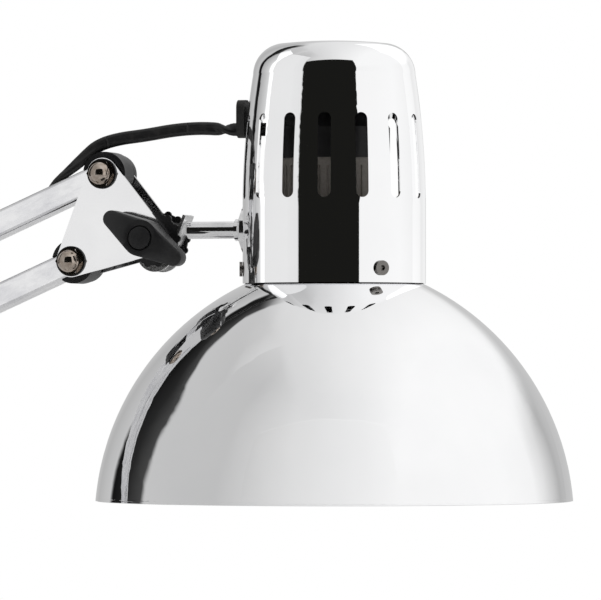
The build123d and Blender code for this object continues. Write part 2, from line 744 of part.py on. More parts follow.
# Pressed collar on the shade's crown. The cap slips over its upturned rim and is screwed to it.
collar_radius = cap_radius - cap_wall - 0.1
collar_foot = rim_height + crown_height
with BuildPart() as shade_collar:
    with BuildSketch(Plane.XY.offset(collar_foot)):
        with Locations((head_x, 0)):
            Circle(collar_radius)
            Circle(holder_hole, mode=Mode.SUBTRACT)
    extrude(amount=1)
    with BuildSketch(Plane.XY.offset(collar_foot)):
        with Locations((head_x, 0)):
            Circle(collar_radius)
            Circle(collar_radius - 1, mode=Mode.SUBTRACT)
    extrude(amount=8)
    for turn in screw_turns:
        side = Plane(origin=(head_x, 0, screw_height), z_dir=(sin(radians(turn)), -cos(radians(turn)), 0))
        with BuildSketch(side) as hole:
            Circle(screw_radius)
        extrude(hole.sketch, amount=cap_radius + 5, mode=Mode.SUBTRACT)
shade_collar.part.label = "shade_collar"
export_step(shade_collar.part, "parts/shade_collar.step")

with BuildPart() as cap_screws:
    for turn in screw_turns:
        out = (sin(radians(turn)), -cos(radians(turn)), 0)
        reach = cap_radius - 5
        tail = Plane(origin=(head_x + out[0] * reach, out[1] * reach, screw_height), z_dir=out)
        with BuildSketch(tail) as shank:
            Circle(screw_radius - 0.02)
        extrude(shank.sketch, amount=5.1)
        with BuildSketch(tail.offset(5.1)) as head:
            Circle(2.9)
            RegularPolygon(1.2, 6, mode=Mode.SUBTRACT)
        extrude(head.sketch, amount=1.1)
cap_screws.part.label = "cap_screws"
export_step(cap_screws.part, "parts/cap_screws.step")

# Lampholder: a ribbed skirt through the shade's crown, a cover above it and a clamping ring below.
skirt_radius = 19.5
skirt_foot = rim_height + crown_height - 9
skirt_top = cap_base + 49
thread_radius = 13.4
with BuildPart() as lampholder_skirt:
    with BuildSketch(Plane.XY.offset(skirt_foot)):
        with Locations((head_x, 0)):
            Circle(skirt_radius)
    extrude(amount=collar_foot + 1 - skirt_foot)
    with BuildSketch(Plane.XY.offset(collar_foot + 1)):
        with Locations((head_x, 0)):
            Circle(skirt_radius + 1.8)
    extrude(amount=skirt_top - collar_foot - 1)
    with BuildSketch(Plane.XY.offset(collar_foot + 4)):
        with Locations((head_x, 0)):
            with PolarLocations(skirt_radius + 1.8, 40):
                Circle(0.55)
    extrude(amount=skirt_top - collar_foot - 7, mode=Mode.SUBTRACT)
    with BuildSketch(Plane.XY.offset(skirt_foot)):
        with Locations((head_x, 0)):
            Circle(thread_radius)
    extrude(amount=32, mode=Mode.SUBTRACT)
lampholder_skirt.part.label = "lampholder_skirt"
export_step(lampholder_skirt.part, "parts/lampholder_skirt.step")

lead_stop = 26
with BuildPart() as lampholder_cover:
    with BuildSketch(Plane.XY.offset(skirt_top)):
        with Locations((head_x, 0)):
            Circle(skirt_radius + 2.4)
    extrude(amount=12)
    with BuildSketch(Plane.XY.offset(skirt_top + 12)):
        with Locations((head_x, 0)):
            Circle(skirt_radius + 2.4)
    extrude(amount=12, taper=30)
    with BuildSketch(Plane.YZ.offset(head_x - lead_stop)):
        with Locations((0, cord_exit_height)):
            Circle(3.4)
    extrude(amount=10)
lampholder_cover.part.label = "lampholder_cover"
export_step(lampholder_cover.part, "parts/lampholder_cover.step")

ring_top = collar_foot - shade_wall
with BuildPart() as holder_ring:
    with BuildSketch(Plane.XY.offset(ring_top - 6)):
        with Locations((head_x, 0)):
            Circle(25)
            Circle(skirt_radius, mode=Mode.SUBTRACT)
    extrude(amount=6)
    with BuildSketch(Plane.XY.offset(ring_top - 6)):
        with Locations((head_x, 0)):
            with PolarLocations(25.2, 24):
                Circle(0.9)
    extrude(amount=6, mode=Mode.SUBTRACT)
holder_ring.part.label = "holder_ring"
export_step(holder_ring.part, "parts/holder_ring.step")

# Screw-in bulb, 27 mm cap, with a pear-shaped envelope that ends just inside the rim.
bulb_tip = rim_height + 9
base_top = skirt_foot + 31.5
with BuildPart() as bulb_base:
    with BuildSketch(Plane.XY.offset(skirt_foot - 1)):
        with Locations((head_x, 0)):
            Circle(thread_radius - 0.2)
    extrude(amount=base_top - skirt_foot - 4)
    with BuildSketch(Plane.XY.offset(base_top - 5)):
        with Locations((head_x, 0)):
            Circle(thread_radius - 0.2)
    extrude(amount=5, taper=45)
bulb_base.part.label = "bulb_base"
export_step(bulb_base.part, "parts/bulb_base.step")

globe_radius = 27.5
glass_wall = 0.9


def bulb_envelope(inset, neck_top):
    """The half section of the bulb's outside, or of its inside when inset by the glass."""
    neck = thread_radius - 0.2 - inset
    globe = globe_radius - inset
    globe_centre = bulb_tip + globe_radius
    with BuildSketch(Plane.XZ) as half:
        with BuildLine():
            Line((0, neck_top), (neck, neck_top))
            Line((neck, neck_top), (neck, skirt_foot - 2))
            Spline(
                (neck, skirt_foot - 2),
                (globe, globe_centre),
                tangents=((0, -1), (0, -1)),
                tangent_scalars=(1.1, 0.9),
            )
            RadiusArc((globe, globe_centre), (0, globe_centre - globe), globe)
            Line((0, globe_centre - globe), (0, neck_top))
        make_face()
    return half.sketch.moved(Location((head_x, 0, 0)))


with BuildPart() as bulb_glass:
    revolve(bulb_envelope(0, skirt_foot - 1), axis=Axis((head_x, 0, 0), (0, 0, 1)))
    revolve(bulb_envelope(glass_wall, skirt_foot), axis=Axis((head_x, 0, 0), (0, 0, 1)), mode=Mode.SUBTRACT)
bulb_glass.part.label = "bulb_glass"
export_step(bulb_glass.part, "parts/bulb_glass.step")

# Cord grommet in the cap's wall: a flat-sided black moulding that stands out a little.
with BuildPart() as cord_grommet:
    with BuildSketch(Plane.YZ.offset(cap_left - 3)):
        with Locations((0, grommet_height + 0.6)):
            RectangleRounded(8.4, 15, 3.2)
    extrude(amount=3.2)
    with BuildSketch(Plane.YZ.offset(cap_left + 0.2)):
        with Locations((0, grommet_height - 0.6)):
            SlotOverall(12.2, 6.2, rotation=90)
    extrude(amount=3.4)
    with BuildSketch(Plane.YZ.offset(cap_left - 3)):
        with Locations((0, cord_exit_height)):
            Circle(cord_radius + 0.1)
    extrude(amount=8, mode=Mode.SUBTRACT)
cord_grommet.part.label = "cord_grommet"
export_step(cord_grommet.part, "parts/cord_grommet.step")

# ---------------------------------------------------------------- springs

lower_springs = spring_body(front_foot, shifted(rear_foot, lower_along, spring_reach))
lower_springs.label = "lower_springs"
export_step(lower_springs, "parts/lower_springs.step")

upper_springs = spring_body(arm_elbow, shifted(link_elbow, upper_along, spring_reach))
upper_springs.label = "upper_springs"
export_step(upper_springs, "parts/upper_springs.step")

# ---------------------------------------------------------------- cord in and between the arms

foot_lead_start = 47
slot_lead_start = 35
lead_in_lower_bar = inner_lead(rear_foot, lower_along, foot_lead_start, lower_bar_length - slot_lead_start)
lead_in_lower_bar.label = "lead_in_lower_bar"
export_step(lead_in_lower_bar, "parts/lead_in_lower_bar.step")

lead_in_upper_bar = inner_lead(arm_elbow, upper_along, slot_lead_start, upper_bar_length - slot_lead_start)
lead_in_upper_bar.label = "lead_in_upper_bar"
export_step(lead_in_upper_bar, "parts/lead_in_upper_bar.step")


def beside_bar(pivot, along, steps):
    """Points in the arm's plane given as (distance along a bar from its pivot, lift off its centre line)."""
    normal = square_to(along)
    places = [shifted(shifted(pivot, along, distance), normal, lift) for distance, lift in steps]
    return [(x, 0, z) for x, z in places]


def halves(route, run):
    """A route cut in two at the middle of one of its runs, so that the two tubes meet face to face."""
    middle = tuple((here + there) / 2 for here, there in zip(route[run], route[run + 1]))
    return route[: run + 1] + [middle], [middle] + route[run + 1 :]


# Foot loop: out of the rear bar's inner slot and down into the spindle.
foot_steps = [(foot_lead_start, 0), (41.5, 0), (33.5, -6.2)]
foot_route = beside_bar(rear_foot, lower_along, foot_steps) + [
    (-14.5, 0, 83.5),
    (-5.5, 0, 73),
    (0, 0, 60.5),
    (0, 0, block_top),
]
foot_cord = cord_tube(foot_route, "foot_cord")
foot_cord.label = "foot_cord"
export_step(foot_cord, "parts/foot_cord.step")

# Elbow loop: out of the upper bar, over its end, down behind the elbow and into the rear lower bar.
slot_steps = [(slot_lead_start, 0), (29.5, 0), (21.5, 6.2), (13.5, 8.2), (6.5, 10.2), (-1, 12.8)]
elbow_bend = [(-154.5, 0, 450.5), (-165, 0, 438), (-172.5, 0, 423), (-178, 0, 407), (-181, 0, 394)]
lower_slot_steps = [(lower_bar_length - distance, lift) for distance, lift in reversed(slot_steps)]
elbow_route = beside_bar(arm_elbow, upper_along, slot_steps) + elbow_bend
elbow_route = elbow_route + beside_bar(rear_foot, lower_along, lower_slot_steps)
elbow_upper_route, elbow_lower_route = halves(elbow_route, 7)
elbow_cord_upper = cord_tube(elbow_upper_route, "elbow_cord_upper")
elbow_cord_upper.label = "elbow_cord_upper"
export_step(elbow_cord_upper, "parts/elbow_cord_upper.step")

elbow_cord_lower = cord_tube(elbow_lower_route, "elbow_cord_lower")
elbow_cord_lower.label = "elbow_cord_lower"
export_step(elbow_cord_lower, "parts/elbow_cord_lower.step")

# Head loop, in three pieces: off the arm, over the knuckle, and into the cap as far as the lampholder.
arm_steps = [(upper_bar_length - distance, lift) for distance, lift in slot_steps[:5]]
arm_steps = arm_steps + [(upper_bar_length + 0.5, 12.4)]
head_route = beside_bar(arm_elbow, upper_along, arm_steps) + [
    (215, 0, 614.2),
    (226, 0, 615.4),
    (238, 0, 617.4),
    (249.5, 0, 618.1),
    (head_x - 43, 0, cord_exit_height),
    (head_x - lead_stop, 0, cord_exit_height),
]
head_route_arm, head_route_rest = halves(head_route, 5)
head_route_knuckle, head_route_cap = halves(head_route_rest, 3)
head_cord_arm = cord_tube(head_route_arm, "head_cord_arm")
head_cord_arm.label = "head_cord_arm"
export_step(head_cord_arm, "parts/head_cord_arm.step")

head_cord_knuckle = cord_tube(head_route_knuckle, "head_cord_knuckle")
head_cord_knuckle.label = "head_cord_knuckle"
export_step(head_cord_knuckle, "parts/head_cord_knuckle.step")

head_cord_cap = cord_tube(head_route_cap, "head_cord_cap")
head_cord_cap.label = "head_cord_cap"
export_step(head_cord_cap, "parts/head_cord_cap.step")

# ---------------------------------------------------------------- mains lead

switch_centre = (-197, 28)
switch_length = 52
switch_width = 24
switch_height = 15
switch_cord_height = 4.5
switch_near = switch_centre[1] - switch_length / 2
switch_far = switch_centre[1] + switch_length / 2
coil_centre = (-145, 55)
floor_height = cord_radius
mains_route = [
    (-gland_end, 0, lead_height),
    (-125, 0, lead_height),
    (-138, -7, 4.2),
    (-149, -20, 2.9),
    (-163, -33, floor_height),
    (-178, -33, floor_height),
    (-190.5, -24, 2.7),
    (-197, -9, switch_cord_height),
    (switch_centre[0], switch_near, switch_cord_height),
]
mains_lead = cord_tube(mains_route, "mains_lead")
mains_lead.label = "mains_lead"
export_step(mains_lead, "parts/mains_lead.step")

coil_route = [
    (switch_centre[0], switch_far, switch_cord_height),
    (-197, 62, switch_cord_height),
    (-192, 76.5, 2.8),
    (-180.5, 87.5, floor_height),
    (-165.5, 92.3, floor_height),
    (-158.5, 93.4, floor_height),
]
lead_to_coil = cord_tube(coil_route, "lead_to_coil")
lead_to_coil.label = "lead_to_coil"
export_step(lead_to_coil, "parts/lead_to_coil.step")

with BuildPart() as mains_coil:
    with BuildSketch(Plane.XY):
        with Locations(coil_centre):
            Circle(coil_mean_radius + coil_half_width)
            Circle(coil_mean_radius - coil_half_width, mode=Mode.SUBTRACT)
    extrude(amount=coil_height)
mains_coil.part.label = "mains_coil"
export_step(mains_coil.part, "parts/mains_coil.step")

# In-line switch: a moulded body across the cord with a rocker in a pocket on top.
rocker_length = 18
rocker_width = 9
with BuildPart() as switch_body:
    with BuildSketch(Plane.XY):
        with Locations(switch_centre):
            RectangleRounded(switch_width, switch_length, 7)
    extrude(amount=switch_height)
    fillet(switch_body.edges().group_by(Axis.Z)[-1], 3)
    with BuildSketch(Plane.XY.offset(switch_height - 4)):
        with Locations(switch_centre):
            Rectangle(rocker_width, rocker_length)
    extrude(amount=5, mode=Mode.SUBTRACT)
switch_body.part.label = "switch_body"
export_step(switch_body.part, "parts/switch_body.step")

with BuildPart() as switch_rocker:
    with BuildSketch(Plane.YZ.offset(switch_centre[0] - rocker_width / 2 + 0.3)):
        with BuildLine():
            Polyline(
                (switch_centre[1] - rocker_length / 2 + 0.4, switch_height - 2.4),
                (switch_centre[1] - rocker_length / 2 + 0.4, switch_height + 1.4),
                (switch_centre[1], switch_height + 0.5),
                (switch_centre[1] + rocker_length / 2 - 0.4, switch_height + 1.4),
                (switch_centre[1] + rocker_length / 2 - 0.4, switch_height - 2.4),
                (switch_centre[1], switch_height - 3.2),
                close=True,
            )
        make_face()
    extrude(amount=rocker_width - 0.6)
switch_rocker.part.label = "switch_rocker"
export_step(switch_rocker.part, "parts/switch_rocker.step")

# Two-pin plug, lying on the table at the coil's outer end.
plug_y = 96.5
plug_height = 7
nose_start = -140
plug_start = -116
plug_length = 34
pin_length = 19
pin_spacing = 15
with BuildPart() as plug_body:
    with BuildSketch(Plane.YZ.offset(plug_start)):
        with Locations((plug_y, plug_height)):
            RectangleRounded(22, 2 * plug_height, 5)
    extrude(amount=plug_length)
    chamfer(plug_body.edges().group_by(Axis.X)[0], 2.5)
    with BuildSketch(Plane.YZ.offset(nose_start)) as nose_tip:
        with Locations((plug_y, plug_height)):
            Circle(3)
    with BuildSketch(Plane.YZ.offset(plug_start)) as nose_root:
        with Locations((plug_y, plug_height)):
            Circle(4.4)
    loft([nose_tip.sketch, nose_root.sketch])
plug_body.part.label = "plug_body"
export_step(plug_body.part, "parts/plug_body.step")

with BuildPart() as plug_pins:
    with BuildSketch(Plane.YZ.offset(plug_start + plug_length)):
        with Locations((plug_y - pin_spacing / 2, plug_height), (plug_y + pin_spacing / 2, plug_height)):
            Circle(2)
    extrude(amount=pin_length)
plug_pins.part.label = "plug_pins"
export_step(plug_pins.part, "parts/plug_pins.step")

print("head axis x", round(head_x, 2), "cap base", round(cap_base, 2), "rim", round(rim_height, 2))
for name, place in (
    ("rear_foot", rear_foot),
    ("front_foot", front_foot),
    ("rear_elbow", rear_elbow),
    ("front_elbow", front_elbow),
    ("link_elbow", link_elbow),
    ("arm_elbow", arm_elbow),
    ("link_head", link_head),
    ("arm_head", arm_head),
    ("knuckle", knuckle),
):
    print(name, [round(value, 3) for value in place])
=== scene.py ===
from math import cos, degrees, pi, radians, sin, tan

import bmesh
import bpy
from mathutils import Matrix, Vector


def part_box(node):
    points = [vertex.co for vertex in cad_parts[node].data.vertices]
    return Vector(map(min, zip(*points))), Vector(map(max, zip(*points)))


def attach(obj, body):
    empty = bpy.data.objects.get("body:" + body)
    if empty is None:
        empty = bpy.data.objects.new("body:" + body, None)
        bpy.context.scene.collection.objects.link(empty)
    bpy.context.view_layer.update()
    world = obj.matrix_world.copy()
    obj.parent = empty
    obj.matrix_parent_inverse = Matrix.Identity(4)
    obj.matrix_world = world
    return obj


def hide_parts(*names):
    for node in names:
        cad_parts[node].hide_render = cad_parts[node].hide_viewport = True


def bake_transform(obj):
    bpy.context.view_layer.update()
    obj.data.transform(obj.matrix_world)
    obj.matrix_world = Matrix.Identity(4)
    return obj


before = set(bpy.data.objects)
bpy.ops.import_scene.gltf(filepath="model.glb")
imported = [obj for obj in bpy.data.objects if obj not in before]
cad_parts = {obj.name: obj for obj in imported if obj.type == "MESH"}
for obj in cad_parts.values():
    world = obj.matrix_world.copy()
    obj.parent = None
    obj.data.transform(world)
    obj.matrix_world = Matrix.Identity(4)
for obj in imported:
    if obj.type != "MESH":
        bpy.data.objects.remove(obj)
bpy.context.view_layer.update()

# ---------------------------------------------------------------- studio
# A white sweep with a pale table top. The lamp is lit all round by white walls with a few black gaps between them,
# because polished metal shows nothing but the room it stands in.
view_turn = radians(16)
camera = bpy.data.objects.new("camera", bpy.data.cameras.new("camera"))
camera.data.lens = 366
camera.data.sensor_width = 36
camera.data.clip_end = 60
camera.location = (0.9526, -2.3107, 0.522)
camera.rotation_euler = (radians(90.666), 0, view_turn)
bpy.context.scene.collection.objects.link(camera)
bpy.context.scene.camera = camera
bpy.context.scene.view_settings.view_transform = "Standard"


class Wire:
    """A socket in a node tree. Arithmetic on wires adds Math nodes, and add() brings in any other node."""

    def __init__(self, tree, socket=None):
        self.tree = tree
        self.socket = socket

    def add(self, kind, settings=None, sockets=None, out=0):
        node = self.tree.nodes.new("ShaderNode" + kind)
        for name, value in (settings or {}).items():
            if name == "stops":
                while len(node.color_ramp.elements) < len(value):
                    node.color_ramp.elements.new(0.5)
                for element, (place, tone) in zip(node.color_ramp.elements, value):
                    element.position = place
                    element.color = (*tone, 1) if isinstance(tone, tuple) else (tone, tone, tone, 1)
            else:
                setattr(node, name, value)
        for name, value in (sockets or {}).items():
            if isinstance(value, Wire):
                self.tree.links.new(value.socket, node.inputs[name])
            else:
                node.inputs[name].default_value = value
        return Wire(self.tree, node.outputs[out])

    def maths(self, operation, *values):
        return self.add("Math", {"operation": operation}, dict(enumerate(values)))

    def __add__(self, other):
        return self.maths("ADD", self, other)

    def __radd__(self, other):
        return self.maths("ADD", other, self)

    def __sub__(self, other):
        return self.maths("SUBTRACT", self, other)

    def __rsub__(self, other):
        return self.maths("SUBTRACT", other, self)

    def __mul__(self, other):
        return self.maths("MULTIPLY", self, other)

    def __rmul__(self, other):
        return self.maths("MULTIPLY", other, self)

    def __truediv__(self, other):
        return self.maths("DIVIDE", self, other)

    def __gt__(self, other):
        return self.maths("GREATER_THAN", self, other)

    def __lt__(self, other):
        return self.maths("LESS_THAN", self, other)


def round_room(stops):
    """Ramp stops from (degrees to the right of the viewer's own direction, brightness)."""
    return [((angle + 180) / 360, tone) for angle, tone in stops]


dark_left, dark_right, dark_top = tan(radians(-46)), tan(radians(31)), 1.05
world = bpy.data.worlds.new("studio")
world.use_nodes = True
bpy.context.scene.world = world
room = Wire(world.node_tree)
ray = room.add("TexCoord", out="Generated")
ray_x = room.add("SeparateXYZ", sockets={0: ray}, out="X")
ray_y = room.add("SeparateXYZ", sockets={0: ray}, out="Y")
ray_z = room.add("SeparateXYZ", sockets={0: ray}, out="Z")
rightward = ray_x * cos(view_turn) + ray_y * sin(view_turn)
toward = ray_x * sin(view_turn) - ray_y * cos(view_turn)
lean = room.add("MapRange", {"interpolation_type": "SMOOTHSTEP"},
                {"Value": ray_z, "From Min": 0.50, "From Max": 1.00, "To Min": 0.0, "To Max": 0.17})
behind_left = (rightward < 0) * (toward < 0)
bearing = room.maths("ARCTAN2", rightward, toward) / (2 * pi) + 0.5 + lean * behind_left
walls = room.add("ValToRGB", {"stops": round_room([
    (-180, 0.60), (-158, 0.46), (-139, 0.56), (-136, 0.006), (-120, 0.02), (-108, 0.06), (-105, 0.58), (-60, 0.55),
    (-28, 0.72), (3, 0.85), (33, 0.96), (90, 1.0), (114, 0.95), (128, 0.70), (141, 0.46), (154, 0.55), (180, 0.60),
])}, {"Fac": bearing})
turn_over = room.add("MapRange", sockets={"Value": rightward, "From Min": -0.35, "From Max": 0.15,
                                          "To Min": 0.80, "To Max": 0.25})
ceiling = room.add("MapRange", {"interpolation_type": "SMOOTHSTEP"},
                   {"Value": ray_z - turn_over, "From Min": 0.0, "From Max": 0.22, "To Min": 0.0, "To Max": 1.0})
overhead = room.add("MapRange", sockets={"Value": rightward, "From Min": -0.6, "From Max": 0.5,
                                         "To Min": 0.60, "To Max": 1.0})
upper = room.add("Mix", {"data_type": "RGBA"}, {"Factor": ceiling, 6: walls, 7: overhead}, out=2)
in_gap = (toward > 0.02) * (rightward / toward > dark_left) * (rightward / toward < dark_right)
in_gap = in_gap * (ray_z / toward < dark_top) * (ray_z / toward > -0.5)
gapped = room.add("Mix", {"data_type": "RGBA"}, {"Factor": in_gap, 6: upper, 7: (0.010, 0.010, 0.009, 1)}, out=2)
seen = room.add("LightPath", out="Is Camera Ray")
shown = room.add("Mix", {"data_type": "RGBA"}, {"Factor": seen, 6: gapped, 7: (1, 1, 1, 1)}, out=2)
world.node_tree.links.new(shown.socket, world.node_tree.nodes["Background"].inputs["Color"])


def softbox(name, left, right, foot, top, stops, receivers, facing):
    """A far white wall between two bearings, of a brightness that changes across it, that lights some pieces only.
    It stands square to the bearing it faces, or to its own middle."""
    distance = 200.0
    facing = (left + right) / 2 if facing is None else facing
    start, end = (tan(radians(side - facing)) * distance for side in (left, right))
    lamp = bpy.data.lights.new(name, "AREA")
    lamp.shape = "RECTANGLE"
    lamp.size = end - start
    lamp.size_y = (top - foot) * distance
    lamp.energy = pi * lamp.size * lamp.size_y
    lamp.use_nodes = True
    tree = Wire(lamp.node_tree)
    place = tree.add("NewGeometry", out="Parametric")
    across = tree.add("SeparateXYZ", sockets={0: place}, out="X")
    tone = tree.add("ValToRGB", {"stops": stops}, {"Fac": across})
    lamp.node_tree.links.new(tone.socket, lamp.node_tree.nodes["Emission"].inputs["Color"])
    box = bpy.data.objects.new(name, lamp)
    turn = view_turn + radians(facing)
    aside = (start + end) / 2
    box.location = (0.3 + sin(turn) * distance + cos(turn) * aside, -cos(turn) * distance + sin(turn) * aside,
                    0.56 + (top + foot) / 2 * distance)
    box.rotation_euler = (radians(90), 0, turn)
    box.visible_camera = False
    bpy.context.scene.collection.objects.link(box)
    box.light_linking.receiver_collection = receivers


wall_foot, side_top = -0.5, 1.4
lit_front = bpy.data.collections.new("lit_front")
lit_sides = bpy.data.collections.new("lit_sides")
lit_arms = bpy.data.collections.new("lit_arms")
for name, left, right, top, stops, receivers, facing in (
    ("front_wall", -46, 31, dark_top, [(0.0, 0.60), (0.32, 0.72), (0.63, 0.84), (1.0, 0.95)], lit_front, 0),
    ("arm_wall", -46, 31, dark_top, [(0.0, 0.82), (1.0, 0.92)], lit_arms, 0),
    ("left_wall", -99, -47, side_top, [(0.0, 0.26), (0.7, 0.30), (1.0, 0.20)], lit_sides, None),
    ("far_left_wall", -128, -99, side_top, [(0.0, 0.40), (1.0, 0.70)], lit_sides, None),
    ("right_wall", 116, 168, side_top, [(0.0, 0.10), (0.4, 0.42), (1.0, 0.30)], lit_sides, None),
):
    softbox(name, left, right, wall_foot, top, stops, receivers, facing)


def clear_selection():
    bpy.ops.object.select_all(action="DESELECT")


clear_selection()
bpy.ops.mesh.primitive_circle_add(vertices=96, radius=2.4, fill_type="NGON", location=(0.1, 0, -0.0004))
table_top = bpy.context.object
table_top.name = "table_top"
table_paint = bpy.data.materials.new("table_paint")
table_paint.use_nodes = True
table_paint.node_tree.nodes["Principled BSDF"].inputs["Base Color"].default_value = (0.86, 0.86, 0.86, 1)
table_paint.node_tree.nodes["Principled BSDF"].inputs["Roughness"].default_value = 0.6
table_top.data.materials.append(table_paint)

# ---------------------------------------------------------------- cord between the arm and the head
# A flat twin cord, two wires side by side in one black sheath. It comes up out of the arm's slot, passes over
# the knuckle with half a twist in it, and goes into the cap's grommet. Each piece spans one joint.
cord_wide = 0.0052
cord_thick = 0.0032


class Finish(Wire):
    """A material: a wire onto its own tree, with set() for the sockets of its surface."""

    def __init__(self, name, sockets):
        self.material = bpy.data.materials.new(name)
        self.material.use_nodes = True
        super().__init__(self.material.node_tree)
        self.surface = self.tree.nodes["Principled BSDF"]
        self.set(sockets)

    def set(self, sockets):
        for name, value in sockets.items():
            if isinstance(value, Wire):
                self.tree.links.new(value.socket, self.surface.inputs[name])
            elif isinstance(value, tuple):
                self.surface.inputs[name].default_value = (*value, 1)
            else:
                self.surface.inputs[name].default_value = value

    def place(self, stretch=(1, 1, 1), turn=(0, 0, 0)):
        spot = self.add("TexCoord", out="Object")
        turned = self.add("Mapping", sockets={"Vector": spot, "Rotation": turn})
        return self.add("Mapping", sockets={"Vector": turned, "Scale": stretch})

    def noise(self, spot, scale, detail=3.0, rough=0.5):
        return self.add("TexNoise", sockets={"Vector": spot, "Scale": scale, "Detail": detail, "Roughness": rough})

    def span(self, value, low, high, foot=0.0, top=1.0):
        sockets = {"Value": value, "From Min": low, "From Max": high, "To Min": foot, "To Max": top}
        return self.add("MapRange", sockets=sockets)

    def tint(self, factor, first, second):
        return self.add("Mix", {"data_type": "RGBA"}, {"Factor": factor, 6: (*first, 1), 7: (*second, 1)}, out=2)

    def relief(self, height, depth, strength=1.0):
        return self.add("Bump", sockets={"Height": height, "Distance": depth, "Strength": strength}, out="Normal")


sheath = Finish("cord_sheath", {"IOR": 1.48})
spot = sheath.place()
dust = sheath.noise(spot, 260, 4)
grain = sheath.noise(spot, 2600, 2)
sheath.set({
    "Base Color": sheath.tint(sheath.span(dust, 0.45, 0.75), (0.012, 0.012, 0.013), (0.035, 0.034, 0.033)),
    "Roughness": sheath.span(dust, 0.3, 0.7, 0.36, 0.52),
    "Normal": sheath.relief(grain, 0.00004, 0.5),
})


def metres(points):
    return [tuple(value / 1000 for value in point) for point in points]


def cord_line(points):
    """The points of a cord's smooth centreline, read from a spline that its route pulls on."""
    curve = bpy.data.curves.new("cord_line", "CURVE")
    curve.dimensions = "3D"
    curve.resolution_u = 10
    spline = curve.splines.new("NURBS")
    spline.points.add(len(points) - 1)
    for control, point in zip(spline.points, points):
        control.co = (*point, 1)
    spline.order_u = 3
    spline.use_endpoint_u = True
    line = bpy.data.objects.new("cord_line", curve)
    mesh = bpy.data.meshes.new_from_object(line)
    places = [vertex.co.copy() for vertex in mesh.vertices]
    bpy.data.objects.remove(line)
    bpy.data.meshes.remove(mesh)
    return places


def flat_cord(name, places, lie):
    """The sheath about a centreline. lie is a list of (share of the length, degrees), 0 for flat and 90 on edge."""
    count = 20
    section = []
    for step in range(count):
        angle = 2 * pi * step / count
        across = cord_wide / 2 * cos(angle)
        waist = 1 - 0.24 * max(0.0, 1 - abs(across) / 0.0009)
        section.append((across, cord_thick / 2 * waist * sin(angle) * (1.0 + 0.22 * abs(cos(angle)))))
    lengths = [0.0]
    for here, there in zip(places, places[1:]):
        lengths.append(lengths[-1] + (there - here).length)
    mesh = bmesh.new()
    rings = []
    side = Vector((0, 1, 0))
    for number, place in enumerate(places):
        before = places[max(number - 1, 0)]
        after = places[min(number + 1, len(places) - 1)]
        along = (after - before).normalized()
        side = (side - along * side.dot(along)).normalized()
        up = along.cross(side)
        share = lengths[number] / lengths[-1]
        turn = lie[-1][1]
        for (start, low), (stop, high) in zip(lie, lie[1:]):
            if start <= share <= stop:
                ease = (share - start) / (stop - start)
                ease = ease * ease * (3 - 2 * ease)
                turn = low + (high - low) * ease
                break
        turn = radians(turn)
        wide = side * cos(turn) + up * sin(turn)
        thin = up * cos(turn) - side * sin(turn)
        rings.append([mesh.verts.new(place + wide * a + thin * b) for a, b in section])
    for first, second in zip(rings, rings[1:]):
        for step in range(count):
            after = (step + 1) % count
            mesh.faces.new((first[step], first[after], second[after], second[step]))
    mesh.faces.new(list(reversed(rings[0])))
    mesh.faces.new(rings[-1])
    bmesh.ops.recalc_face_normals(mesh, faces=mesh.faces)
    data = bpy.data.meshes.new(name)
    mesh.to_mesh(data)
    mesh.free()
    for face in data.polygons:
        face.use_smooth = True
    cord = bpy.data.objects.new(name, data)
    bpy.context.scene.collection.objects.link(cord)
    data.materials.append(sheath.material)
    return cord


def along_bar(pivot, slope, steps):
    """Points beside a bar, in millimetres: (distance from its pivot, lift off its centre line)."""
    lean = radians(slope)
    return [(pivot[0] + d * cos(lean) - h * sin(lean), 0, pivot[1] + d * sin(lean) + h * cos(lean)) for d, h in steps]


def halfway(first, second):
    return tuple((a + b) / 2 for a, b in zip(first, second))


head_x = 303.81
arm_elbow = (-137.243, 447.371)
upper_slope, upper_length = 23.7, 380
slot_steps = [(35, 0), (29.5, 0), (21.5, 6.2), (13.5, 8.2), (6.5, 10.2)]
head_route = along_bar(arm_elbow, upper_slope, [(upper_length - d, h) for d, h in slot_steps] + [(380.5, 12.4)])
head_route += [(215, 0, 614.2), (226, 0, 615.4), (238, 0, 617.4), (249.5, 0, 618.1)]
head_route += [(head_x - 43, 0, 617.21), (head_x - 26, 0, 617.21)]
first_join = halfway(head_route[5], head_route[6])
second_join = halfway(head_route[8], head_route[9])


def bridge_joint(name, route, node, lie=((0, 0), (1, 0))):
    """A stretch of the flat cord that leaves one body and ends on the next, in place of its CAD solid."""
    route = metres(route)
    places = cord_line(route)
    cord = flat_cord(name, places, lie)
    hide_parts(node)
    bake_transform(cord)


bridge_joint("head_cord_over_arm", head_route[:6] + [first_join], "head_cord_arm",
             lie=((0, 0), (0.35, 10), (0.8, 80), (1, 90)))
bridge_joint("head_cord_over_knuckle", [first_join] + head_route[6:9] + [second_join],
             "head_cord_knuckle", lie=((0, 90), (1, 90)))
bridge_joint("head_cord_into_cap", [second_join] + head_route[9:], "head_cord_cap",
             lie=((0, 90), (0.3, 90), (0.6, 270), (1, 270)))

